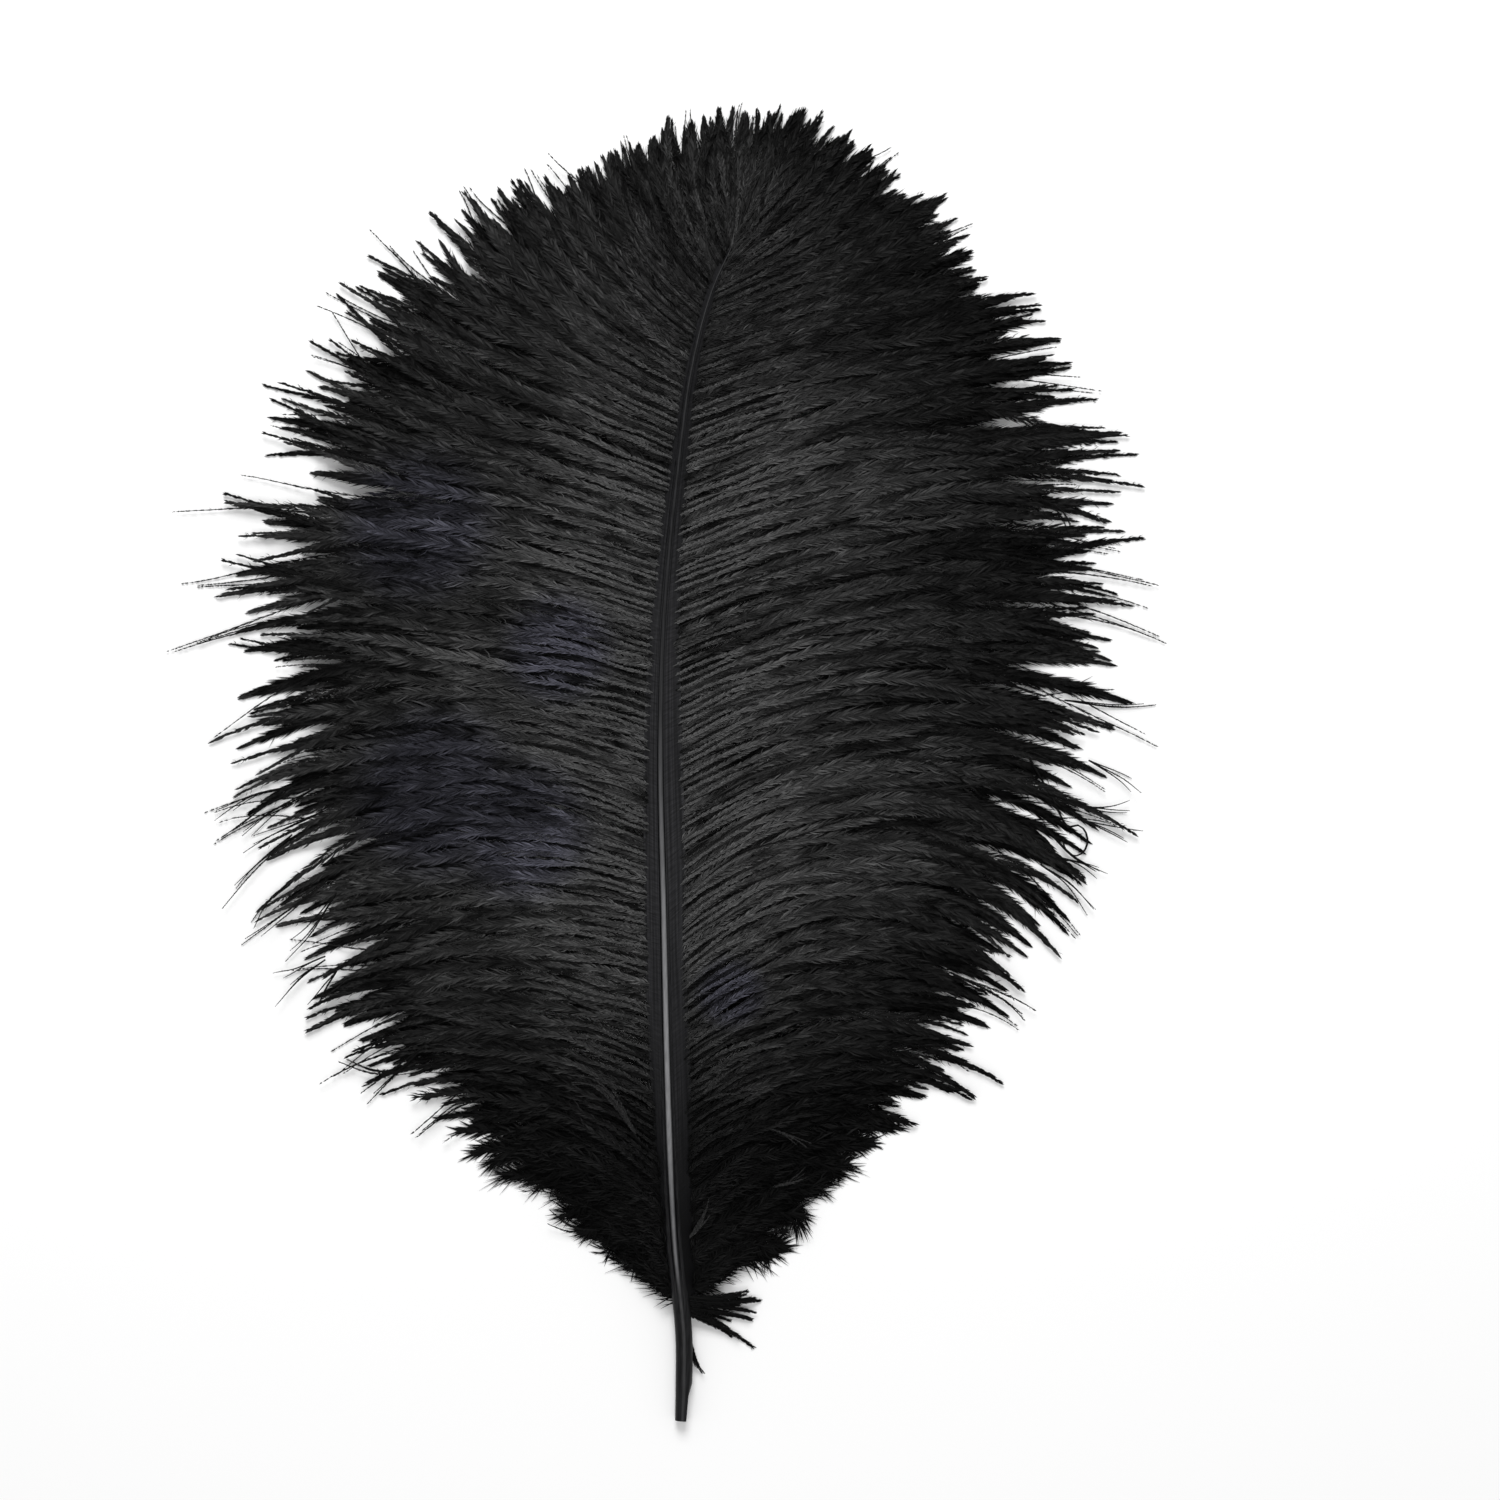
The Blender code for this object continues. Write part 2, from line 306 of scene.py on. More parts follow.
def dyed_horn_and_painted_highlight():
    material, shader, add, links = new_material("dyed_horn_and_painted_highlight")
    place = add("ShaderNodeTexCoord").outputs["Object"]
    stretch = add("ShaderNodeMapping", None, Vector=place, Scale=(3000, 120, 3000))
    # Growth lines run along the shaft, a third of a millimetre apart and about a centimetre long
    lines = add("ShaderNodeTexNoise", None, Vector=stretch.outputs[0], Scale=1.0, Detail=3.0)
    ridge = add("ShaderNodeAttribute", {"attribute_name": "ridge"}).outputs["Fac"]
    streaked = add(
        "ShaderNodeMapRange", None, Value=lines.outputs["Fac"],
        From_Min=0.3, From_Max=0.7, To_Min=0.8, To_Max=1.15,
    )
    part = add("ShaderNodeMath", {"operation": "MULTIPLY"}, _0=ridge, _1=streaked.outputs[0])
    grain = add(
        "ShaderNodeMapRange", None, Value=lines.outputs["Fac"],
        From_Min=0.38, From_Max=0.66, To_Min=0.0, To_Max=1.0,
    )
    dark = add(
        "ShaderNodeMix", {"data_type": "RGBA"}, _0=grain.outputs[0],
        _6=hex_colour("#040405"), _7=hex_colour("#18181a"),
    )
    # The ridge is painted lighter: partly a paler dye, and partly a painted highlight
    colour = add(
        "ShaderNodeMix", {"data_type": "RGBA"}, _0=part.outputs[0],
        _6=dark.outputs[2], _7=hex_colour("#8e8e90"),
    )
    links.new(colour.outputs[2], shader.inputs["Base Color"])
    bump = add("ShaderNodeBump", None, Height=lines.outputs["Fac"], Strength=0.2, Distance=0.0001)
    links.new(bump.outputs[0], shader.inputs["Normal"])
    shader.inputs["Roughness"].default_value = 0.42
    shader.inputs["IOR"].default_value = 1.55
    shader.inputs["Specular IOR Level"].default_value = 0.14
    return material


# %% [markdown]
# All the barbs share one material. Its lightest colour shows only where tone is near 1, which is on
# the ribs beside the shaft, where it is a painted highlight. Everywhere else a barb takes a share of it.

# %% Dyed keratin for the barbs, with painted highlight and painted shade in its tone


def dyed_barbs_and_painted_light(name, dark, light, blue_light):
    material, shader, add, links = new_material(name)
    tone = add("ShaderNodeAttribute", {"attribute_name": "tone"}).outputs["Fac"]
    blue = add("ShaderNodeAttribute", {"attribute_name": "blue"}).outputs["Fac"]
    lighter = add(
        "ShaderNodeMix", {"data_type": "RGBA"}, _0=blue,
        _6=hex_colour(light), _7=hex_colour(blue_light),
    )
    # The tone mixes the dark dye with the light colour: a random difference from barb to barb, with
    # painted highlight and painted shade worked in
    colour = add(
        "ShaderNodeMix", {"data_type": "RGBA"}, _0=tone,
        _6=hex_colour(dark), _7=lighter.outputs[2],
    )
    links.new(colour.outputs[2], shader.inputs["Base Color"])
    shader.inputs["Roughness"].default_value = 0.55
    shader.inputs["IOR"].default_value = 1.55
    shader.inputs["Specular IOR Level"].default_value = 0.07
    return material


HORN = dyed_horn_and_painted_highlight()
BARBS = dyed_barbs_and_painted_light("dyed_barbs_and_painted_light", "#020202", "#585858", "#575762")
print("materials", [m.name for m in bpy.data.materials])

# %% [markdown]
# ## The shaft
#
# The shaft starts as a bare round quill with a cut end and goes on as the rachis, which has a
# polished ridge along its middle with a fine groove on each side, where the barbs are set. It is
# modelled as one would by hand: a ring of points is extruded from station to station, and then each
# ring is moved, turned square to the run and scaled. The end face of the quill is inset and pushed
# in, because a quill is hollow.

# %% Model the shaft
SHAFT_STATIONS = 96
SHAFT_RING = 60
RIDGE_HALF_ANGLE = 18  # degrees each side of the top that belong to the ridge
RIDGE_WIDENS = (-0.105, -0.075)  # it starts a little over half as wide by the quill
GROOVE_FROM_TO = (-0.116, -0.106)  # where the round quill turns into the grooved rachis
CUT_STEP = (-0.1318, -0.1311)  # below this the quill is cut away a little on its right side
CUT_STEP_DEPTH = 0.7 * MM
GROOVE_DEPTH, SHOULDER_DEPTH = 0.35, 0.2  # shares of the half height, beside the ridge and beyond
QUILL_WALL = 0.35 * MM
QUILL_HOLLOW = 2.5 * MM
SHARP_ANGLE = 50  # degrees, so the rim of the cut stays crisp
# Place along Y, and how light the ridge is painted there, partly paler dye and partly a painted
# highlight: as dark as the rest at both ends
PAINTED_RIDGE_HIGHLIGHT = np.array([
    (-0.139, 0.05), (-0.110, 0.10), (-0.105, 0.44), (-0.092, 0.42), (-0.078, 0.64),
    (-0.055, 0.72), (-0.035, 0.60), (-0.012, 0.27), (0.010, 0.07), (0.030, 0.02),
])


def shaft_run(y):
    """The direction of the shaft at a place along Y."""
    ends = read_table(SHAFT, [y - 0.5 * MM, y + 0.5 * MM])
    run = np.diff(ends[:, :3], axis=0)[0][[1, 0, 2]]
    run[1] = MM
    return run / np.linalg.norm(run)


def shaft_profile(y):
    """The ring of points of one section, square to the shaft's run, and the painted highlight that each
    takes on the ridge.
    """
    _, x, z, half_width, half_height = read_table(SHAFT, [y])[0]
    run = shaft_run(y)
    across = np.cross(run, (0, 0, 1))
    across /= np.linalg.norm(across)
    up = np.cross(across, run)
    turn = np.linspace(0, 2 * math.pi, SHAFT_RING, endpoint=False)
    wide, high = np.sin(turn) * half_width, np.cos(turn) * half_height
    from_top = np.degrees(np.abs(np.arctan2(np.sin(turn), np.cos(turn))))
    grooved = float(ease(*GROOVE_FROM_TO, y))
    half_angle = RIDGE_HALF_ANGLE * (0.6 + 0.4 * float(ease(*RIDGE_WIDENS, y)))
    groove = np.exp(-(((from_top - half_angle - 10) / 8) ** 2))
    shoulder = ease(half_angle, 75, from_top)
    sunk = grooved * (GROOVE_DEPTH * groove + SHOULDER_DEPTH * shoulder)
    high = np.where(high > 0, high * (1 - sunk), high)
    narrow = float(ease(*CUT_STEP, y))
    wide = np.minimum(wide, half_width - (1 - narrow) * CUT_STEP_DEPTH)
    # Each point of the ridge takes its share of the painted highlight, which varies along the shaft
    ridge = ease(half_angle + 4, half_angle - 6, from_top)
    painted_highlight = np.interp(y, PAINTED_RIDGE_HIGHLIGHT[:, 0], PAINTED_RIDGE_HIGHLIGHT[:, 1])
    return np.array([x, y, z]) + np.outer(wide, across) + np.outer(high, up), ridge * painted_highlight


def make_shaft():
    """Extrudes a ring from station to station, and opens the cut end of the hollow quill."""
    places = np.linspace(SHAFT[0, 0], SHAFT[-1, 0], SHAFT_STATIONS)
    bpy.ops.object.select_all(action="DESELECT")
    bpy.ops.mesh.primitive_circle_add(vertices=SHAFT_RING, radius=MM, fill_type="NGON")
    shaft = bpy.context.object
    shaft.name = "shaft"
    bpy.ops.object.mode_set(mode="EDIT")
    bpy.ops.mesh.select_all(action="SELECT")
    for _ in places[1:]:
        bpy.ops.mesh.extrude_region_move(TRANSFORM_OT_translate={"value": (0, 0, MM)})
    bpy.ops.object.mode_set(mode="OBJECT")
    rings = [shaft_profile(y) for y in places]
    shaft.data.vertices.foreach_set("co", np.concatenate([ring[0] for ring in rings]).ravel())
    ridge = shaft.data.attributes.new("ridge", "FLOAT", "POINT")
    ridge.data.foreach_set("value", np.concatenate([ring[1] for ring in rings]))
    at_end = [bool(p.center.y < SHAFT[0, 0] + 0.01 * MM) for p in shaft.data.polygons]
    shaft.data.polygons.foreach_set("select", at_end)
    bpy.ops.object.mode_set(mode="EDIT")
    bpy.ops.mesh.select_mode(type="FACE")
    bpy.ops.mesh.inset(thickness=QUILL_WALL)
    bpy.ops.mesh.extrude_region_move(TRANSFORM_OT_translate={"value": (0, QUILL_HOLLOW, 0)})
    bpy.ops.mesh.select_all(action="SELECT")
    bpy.ops.mesh.normals_make_consistent(inside=False)
    bpy.ops.object.mode_set(mode="OBJECT")
    bpy.ops.object.shade_smooth_by_angle(angle=math.radians(SHARP_ANGLE))
    return shaft


def dress(piece, material):
    """Gives a piece its material, and says what it rides on and stands for."""
    piece.data.materials.clear()
    piece.data.materials.append(material)
    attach(piece, "root")
    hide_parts("feather")
    return piece


shaft = dress(make_shaft(), HORN)
print("shaft points", len(shaft.data.vertices))

# %% [markdown]
# ## The packed bases
#
# Close to the shaft the barbs have no fringe yet. Their flat stems stand so close together that the
# eye sees one smooth dark band, wider on the right than on the left, that starts just below the
# ridge and slopes down to where the first ribs stand up. Each band is a grid laid on the map of the
# vane: a point's place across the grid says how far it is from the shaft, and its place along says
# where on the shaft. The material draws the stems as fine lines that follow the barbs. Towards the
# quill and towards the tip the bands are painted darker, as painted shade.

# %% Lay a band on each side
BAND_WIDTH = {RIGHT: 0.0048, LEFT: 0.0031}
BAND_END = 0.94  # share along the shaft where the band has narrowed away
BAND_ACROSS, BAND_ALONG = 10, 300
BAND_START = (0.6, 0.3)  # share of the shaft's half width left free, below and towards the tip
BAND_UNDER = 1.2 * MM  # the band runs on below the first ribs
BAND_RUN_OUT = 0.03  # share along the shaft past the band's end
BAND_CLIMB, BAND_CURVE = 0.75, 1.3  # it climbs the shaft to this share of its half height
BAND_SINK = 0.5 * MM  # how far its outer edge lies below the map of the vane


def band_width(side, share):
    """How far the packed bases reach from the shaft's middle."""
    return BAND_WIDTH[side] * (1 - 0.85 * ease(0.45, 0.9, share)) * ease(-0.15, 0.12, share)


def from_growth(share, column):
    """A column of the growth table at shares along the shaft."""
    shape = np.shape(share)
    return read_table(GROWTH, np.clip(np.ravel(share), 0, 1))[:, column].reshape(shape)


def packed_bases():
    material, shader, add, links = new_material("packed_barb_bases")
    flat = add("ShaderNodeTexCoord").outputs["UV"]
    # The stems are a third of a millimetre apart: 700 of them along the shaft
    stretch = add("ShaderNodeMapping", None, Vector=flat, Scale=(1.5, 700, 1))
    stems = add("ShaderNodeTexNoise", None, Vector=stretch.outputs[0], Scale=1.0, Detail=2.0)
    # The band's tone is painted shade: darker towards the quill and towards the tip
    grown = add("ShaderNodeAttribute", {"attribute_name": "tone"}).outputs["Fac"]
    # And they lie in darker and lighter strips along the shaft, half a millimetre wide
    strips = add("ShaderNodeMapping", None, Vector=flat, Scale=(9, 6, 1))
    uneven = add("ShaderNodeTexNoise", None, Vector=strips.outputs[0], Scale=1.0, Detail=2.0)
    strip_tone = add(
        "ShaderNodeMapRange", None, Value=uneven.outputs["Fac"],
        From_Min=0.35, From_Max=0.65, To_Min=0.5, To_Max=1.35,
    )
    shade = add("ShaderNodeMath", {"operation": "MULTIPLY"}, _0=grown, _1=stems.outputs["Fac"])
    part = add(
        "ShaderNodeMath", {"operation": "MULTIPLY"}, _0=shade.outputs[0], _1=strip_tone.outputs[0]
    )
    colour = add(
        "ShaderNodeMix", {"data_type": "RGBA"}, _0=part.outputs[0],
        _6=hex_colour("#040405"), _7=hex_colour("#343436"),
    )
    links.new(colour.outputs[2], shader.inputs["Base Color"])
    bump = add("ShaderNodeBump", None, Height=stems.outputs["Fac"], Strength=0.3, Distance=0.0001)
    links.new(bump.outputs[0], shader.inputs["Normal"])
    shader.inputs["Roughness"].default_value = 0.6
    shader.inputs["IOR"].default_value = 1.55
    shader.inputs["Specular IOR Level"].default_value = 0.08
    return material


PACKED = packed_bases()


def make_band(side, name):
    bpy.ops.object.select_all(action="DESELECT")
    bpy.ops.mesh.primitive_grid_add(
        x_subdivisions=BAND_ACROSS, y_subdivisions=BAND_ALONG, size=2, calc_uvs=True
    )
    band = bpy.context.object
    band.name = name
    flat = np.zeros(len(band.data.vertices) * 3)
    band.data.vertices.foreach_get("co", flat)
    across, along = (flat.reshape(-1, 3)[:, :2].T + 1) / 2
    share = along * (BAND_END + BAND_RUN_OUT)
    shaft_there = read_table(SHAFT, from_growth(share, 1))
    free = BAND_START[0] + (BAND_START[1] - BAND_START[0]) * ease(0.5, 0.8, share)
    start = shaft_there[:, 3] * free
    away = start + across * (band_width(side, share) + BAND_UNDER - start)
    points = on_vane(side, share, away / from_growth(share, side + 2))
    climb = shaft_there[:, 4] * BAND_CLIMB * (1 - across) ** BAND_CURVE
    points[:, 2] += climb - BAND_SINK * across**2
    band.data.vertices.foreach_set("co", points.ravel())
    # Painted shade along the band: darkest by the quill, and darker again towards the tip
    grown = band.data.attributes.new("tone", "FLOAT", "POINT")
    grown.data.foreach_set("value", (1 - 0.55 * ease(0.6, 0.85, share)) * ease(0.04, 0.44, share))
    band.data.update()
    if side == LEFT:
        band.data.flip_normals()
    bpy.ops.object.shade_smooth()
    return dress(band, PACKED)


bands = [make_band(RIGHT, "barb_bases_right"), make_band(LEFT, "barb_bases_left")]
print("band points", [len(b.data.vertices) for b in bands])

# %% [markdown]
# ## Where the barbs run
#
# Barbs are not spread evenly out at the edge. Their fringes cling, so one to three neighbours end in
# one fine point, and a few of these points lean together into a lock. Each barb is a line on the map
# of the vane: it starts at its own share, wanders a little, and drifts to its lock's and its point's
# share as it runs out. Locks also lie over and under each other. Random draws come from one seeded
# generator, so the plume is the same every time.

# %% Groups of neighbours
chance = np.random.default_rng(11)
LINE_STEPS = 28
FLOOR_GAP = 0.35 * MM
GAP_WEIGHTS = ((0.02, 0.3), (0.6, 0.7))  # a way out on the grid, and how much its spacing counts


def even_shares(side, count, low=0.0, high=1.0):
    """Shares of the barbs, a little further apart where the vane fans out."""
    grid = VANE[side]
    gaps = sum(
        weight * np.linalg.norm(np.diff(grid[:, int(out * OUT_STEPS)], axis=0), axis=1)
        for out, weight in GAP_WEIGHTS
    )
    run = np.concatenate([[0], np.cumsum(gaps)])
    places = np.linspace(0, 1, SHARES + 1)
    ends = np.interp((low, high), places, run)
    steps = ends[0] + (np.arange(count) + 0.5) / count * (ends[1] - ends[0])
    return np.interp(steps, run, places)


def group(count, smallest, largest):
    """The number of the group that each of a row of things belongs to, for groups of random size."""
    numbers, k = [], 0
    while len(numbers) < count:
        numbers += [k] * int(chance.integers(smallest, largest + 1))
        k += 1
    return np.array(numbers[:count])


def group_mean(values, groups):
    """For each thing, the mean of its group."""
    return (np.bincount(groups, values) / np.bincount(groups))[groups]


def group_draw(groups, low, high):
    """For each thing, the random value that its group drew."""
    return chance.uniform(low, high, groups.max() + 1)[groups]


print("shares of five barbs", np.round(even_shares(RIGHT, 5), 3))


# %% [markdown]
# The tone of a barb is darkest at its tip and where the vane turns away from the lamp: low down by
# the quill, at the top, and out on the right. A few patches of some centimetres lean to blue.

# %% Tone and blue along the barbs
OUTER_TONE = {RIGHT: 0.28, LEFT: 0.66}
BLUE_PATCHES = (  # middle X and Y, and radius
    (-0.052, 0.050, 0.020),
    (-0.022, 0.024, 0.014),
    (-0.048, -0.006, 0.022),
    (-0.030, -0.014, 0.018),
    (0.014, -0.048, 0.009),
)
BLUE_FULL = 0.45  # share of the radius within which a patch has its full colour


def tone_share(side, rel, points):
    """How much of its tone a barb keeps at each point."""
    out = 1 - (1 - OUTER_TONE[side]) * ease(0.3, 0.9, rel)
    top = 1 - 0.42 * ease(0.045, 0.09, points[..., 1])
    low = 0.04 + 0.96 * ease(-0.085, -0.02, points[..., 1] + 0.01 * rel)
    return out * top * low


def blueness(points):
    """How far each point is in a blue patch."""
    value = np.zeros(points.shape[:-1])
    for x, y, radius in BLUE_PATCHES:
        away = np.hypot(points[..., 0] - x, points[..., 1] - y)
        value = np.maximum(value, ease(radius, radius * BLUE_FULL, away))
    return value


print("tone kept at both edges", [tone_share(side, 1, np.zeros(3)) for side in (RIGHT, LEFT)])


# %% [markdown]
# The next function plans all the barbs of one layer of one side. For each barb it draws how far it
# reaches, works out how its line drifts, sways and ripples across the grid of the vane, and lifts
# the line a little over or under the map. Near the tip of the plume the barbs are calmer, and by
# the quill they are more ruffled. The result is a table of lines with a tone at each point.

# %% Plan the barbs of a side
TAPER = 0.026  # the last stretch of a barb, where its barbules get shorter and lie close
LOCK_BARBS, TUFT_BARBS = (4, 9), (1, 3)  # the fewest and most neighbours that lean together
TIP_ORDER, DOWN_RUFFLE = (0.8, 0.93), (0.2, 0.07)  # shares where each sets in and is full
STRETCHES = {  # middle share, half width, and how much longer
    RIGHT: ((0.2, 0.09, 0.07), (0.45, 0.05, 0.05), (0.57, 0.1, 0.03), (0.89, 0.04, -0.04)),
    LEFT: (
        (0.12, 0.06, 0.05), (0.33, 0.05, 0.04), (0.52, 0.04, 0.03), (0.82, 0.05, 0.03),
        (0.92, 0.04, -0.07),
    ),
}


def fuller(side, share):
    """Some stretches of the vane have longer or shorter barbs than their neighbours."""
    bumps = (more * np.exp(-(((share - at) / wide) ** 2)) for at, wide, more in STRETCHES[side])
    return 1 + sum(bumps)


def plan_barbs(
    side, shares, reach, wander, rise, spread, light, painted_light_by_shaft, taper=1.0, thins=0.8
):
    """Barbs as lines of points, with their share of the way out and their tone."""
    count = len(shares)
    pitch = np.gradient(shares)
    locks, tufts = group(count, *LOCK_BARBS), group(count, *TUFT_BARBS)
    # Round the tip the barbs keep better order and end closer together, and by the quill they keep less
    tip, downy = ease(*TIP_ORDER, shares), ease(*DOWN_RUFFLE, shares)
    shares = np.clip(shares + chance.uniform(-0.4, 0.4, count) * pitch * (1 + 2 * downy), 0, 1)
    lock_share = group_mean(shares, locks) + group_draw(locks, -1, 1) * pitch
    tuft_share = group_mean(shares, tufts)
    # How far they reach
    nearest = reach[0] + (0.93 - reach[0]) * tip
    reaches = nearest + (reach[1] - nearest) * group_draw(tufts, 0, 1) ** 1.4
    reaches *= chance.uniform(0.95, 1.0, count) * chance.uniform(1 - 0.25 * downy, 1)
    reaches *= fuller(side, shares)
    rel = np.linspace(0, 1, LINE_STEPS + 1)[None, :].repeat(count, axis=0)
    out = rel * np.minimum(reaches, OUT_END)[:, None]
    # How their lines lean to the lock and the tuft, sway, and ripple as they leave the shaft
    calm = (1 - 0.6 * tip)[:, None]
    leaning = group_draw(locks, 0.0, 0.25)[:, None] * calm * ease(0.35, 1.0, rel)
    line = shares[:, None] + (lock_share - shares)[:, None] * leaning
    line += (tuft_share - shares)[:, None] * (1 - leaning) * 0.8 * ease(0.68, 1.0, rel)
    waves = [group_draw(locks, 0, 6.3)[:, None], group_draw(tufts, 0, 6.3)[:, None]]
    waves += list(chance.uniform(0, 6.3, (3, count, 1)))
    sway = group_draw(locks, 0.3, 1)[:, None] * np.sin(rel * 3 + waves[0])
    sway += group_draw(tufts, 0.3, 1)[:, None] * np.sin(rel * 5 + waves[1])
    sway += 5 * (group_draw(tufts, -1, 1) ** 3)[:, None] * ease(0.5, 1.1, rel)
    step = pitch[:, None]
    line += step * wander * calm * (1 + downy)[:, None] * sway * ease(0.1, 0.9, rel)
    ripples = 0.4 * np.sin(rel * 9 + waves[2]) * ease(0.1, 0.5, rel) * (1 - ease(0.6, 1, rel))
    ripples += 0.2 * np.sin(rel * 24 + waves[4]) * ease(0.03, 0.1, rel) * (1 - ease(0.5, 0.8, rel))
    line += step * ripples * calm**2
    # Where that is in space, over or under the neighbours, and how light it is
    points = on_vane(side, line, out)
    length = from_growth(shares, side + 2) * reaches
    away = rel * length[:, None]
    edge = band_width(side, shares)[:, None]
    shown = ease(edge - 0.8 * MM, edge + 1.0 * MM, away)
    heights = chance.normal(0, spread, count)[:, None] + rise
    heights = heights + group_draw(locks, -1.5, 1.5)[:, None] * spread * ease(0.25, 0.7, rel)
    heights = heights + spread * np.sin(rel * 11 + waves[3])
    points[..., 2] += -0.9 * MM * (1 - shown) + heights * shown
    points[..., 2] = np.maximum(points[..., 2], FLOOR_GAP)
    # Tone: a random difference from barb to barb, with painted light on top: beside the shaft a painted
    # highlight on the ribs where the factor is above 1 and painted shade where it is below, then the
    # painted shade of tone_share
    tone = light + chance.normal(0, 0.13, count) + group_draw(locks, -0.12, 0.12)
    tone = tone[:, None] + chance.normal(0, 0.13, rel.shape)
    tone *= 1 + (painted_light_by_shaft - 1) * (1 - tip)[:, None] * ease(0.035, 0.008, away)
    tone = np.clip(tone, 0.03, 1) * tone_share(side, rel, points)
    return {
        "points": points, "rel": rel, "away": away, "edge": edge[:, 0], "tone": tone, "downy": downy,
        "taper": taper * TAPER * (1 - 0.65 * tip) * (1 - 0.5 * downy),
        "thins": np.full(count, thins),
    }


# %% [markdown]
# ## Stems and barbules
#
# One barb is a three-sided stem that tapers to a point, with barbules on both sides of it. A barbule
# is a bent blade of two triangles, or a straight one of one triangle where it is mostly hidden: it
# leaves the stem at an angle and turns along it, and it sags, so a row of barbules makes a rounded
# rib. Near the tip of the barb they are short and lie close, and a few stand off anywhere, which
# gives the plume its fuzz. All blades of many barbs are worked out at once as arrays, and one joined
# mesh is made of them, because modelling some hundred thousand blades one by one would take hours.

# %% Meshes from arrays


def mesh_piece(name, points, triangles, tone):
    """An object from arrays of points, triangles and the tone of each point."""
    mesh = bpy.data.meshes.new(name)
    mesh.vertices.add(len(points))
    mesh.vertices.foreach_set("co", points.astype(np.float32).ravel())
    mesh.loops.add(triangles.size)
    mesh.loops.foreach_set("vertex_index", triangles.astype(np.int32).ravel())
    mesh.polygons.add(len(triangles))
    mesh.polygons.foreach_set("loop_start", np.arange(0, triangles.size, 3, dtype=np.int32))
    mesh.update(calc_edges=True)
    for layer_name, values in (("tone", tone), ("blue", blueness(points))):
        layer = mesh.attributes.new(layer_name, "FLOAT", "POINT")
        layer.data.foreach_set("value", values.astype(np.float32))
    piece = bpy.data.objects.new(name, mesh)
    bpy.context.scene.collection.objects.link(piece)
    return piece


def unit(vectors):
    return vectors / np.maximum(np.linalg.norm(vectors, axis=-1, keepdims=True), 1e-12)


def frames(points):
    """Along, sideways and up at each point of each line."""
    along = unit(np.gradient(points, axis=1))
    sideways = unit(np.cross((0, 0, 1), along))
    return along, sideways, np.cross(along, sideways)


STEM_TONE = 0.75  # of the tone of the barbules beside it


def stems(plan, thickness):
    """Three-sided stems: a ridge on top and two edges below, which close in a point at the tip."""
    points, rel = plan["points"], plan["rel"]
    count, steps = rel.shape
    _, sideways, up = frames(points)
    thinner = 1 - plan["thins"][:, None] * rel  # how much of its thickness the stem still has
    radius = (thickness / 2 * thinner * np.minimum(1, 20 * (1.001 - rel)))[:, :, None]
    ring = np.stack(
        [points + up * radius, points - sideways * radius, points + sideways * radius], axis=2
    )
    index = np.arange(count * steps * 3).reshape(count, steps, 3)
    a, b = index[:, :-1], index[:, 1:]
    faces = [
        np.stack(corners, axis=-1).reshape(-1, 3)
        for k in range(3)
        for m in ((k + 1) % 3,)
        for corners in ((a[..., k], b[..., k], b[..., m]), (a[..., k], b[..., m], a[..., m]))
    ]
    tone = np.repeat(plan["tone"].ravel(), 3) * STEM_TONE
    return ring.reshape(-1, 3), np.concatenate(faces), tone


def sample(lines, barb, place):
    """Values of the lines at fractional steps."""
    i = np.minimum(place.astype(int), lines.shape[1] - 2)
    f = (place - i).reshape(-1, *([1] * (lines.ndim - 2)))
    return lines[barb, i] * (1 - f) + lines[barb, i + 1] * f


def bent_blades(base, middle, tip, across, tone):
    """Barbules of two triangles: a point at the base, two in the middle and one at the tip."""
    points = np.stack([base, middle + across, middle - across, tip], axis=1)
    start = np.arange(len(base))[:, None] * 4
    faces = np.stack([start + [0, 1, 2], start + [2, 1, 3]], axis=1)
    return points.reshape(-1, 3), faces.reshape(-1, 3), np.repeat(tone, 4)


def straight_blades(base, middle, tip, across, tone):
    """Barbules of one triangle, for those that are mostly hidden."""
    points = np.stack([base + across, tip, base - across], axis=1).reshape(-1, 3)
    return points, np.arange(len(points)).reshape(-1, 3), np.repeat(tone, 3)


# %% [markdown]
# The fringe is worked out for all the barbs of a plan together, first on one hand of the stems and
# then on the other. A barbule's length, angle and width follow from where on its barb it sits: by the
# shaft it is short and stands off more, some centimetres out it is long and lies closer, and towards
# the tip it is short again. Chance varies all of them.

# %% The fringe of barbules
STRAY_SHARE = 0.06  # how many of the barbules stand off
STRAY_DEGREES = (25, 65)
LEAN = 32  # degrees between a barbule and its stem where the fringe starts
LESS_OUT, LESS_AT_TIP, MORE_IN_DOWN = 13, 14, 14  # off it further out and at tips, and on in the down
LONGEST = 4.8 * MM  # barbules some centimetres out
ROLL_DEGREES, ROLL_SPREAD = 25, 22  # how far the blades are tilted, and how much that differs
LOWEST_POINT = 0.12 * MM  # the middle line of a blade stays this high above the paper


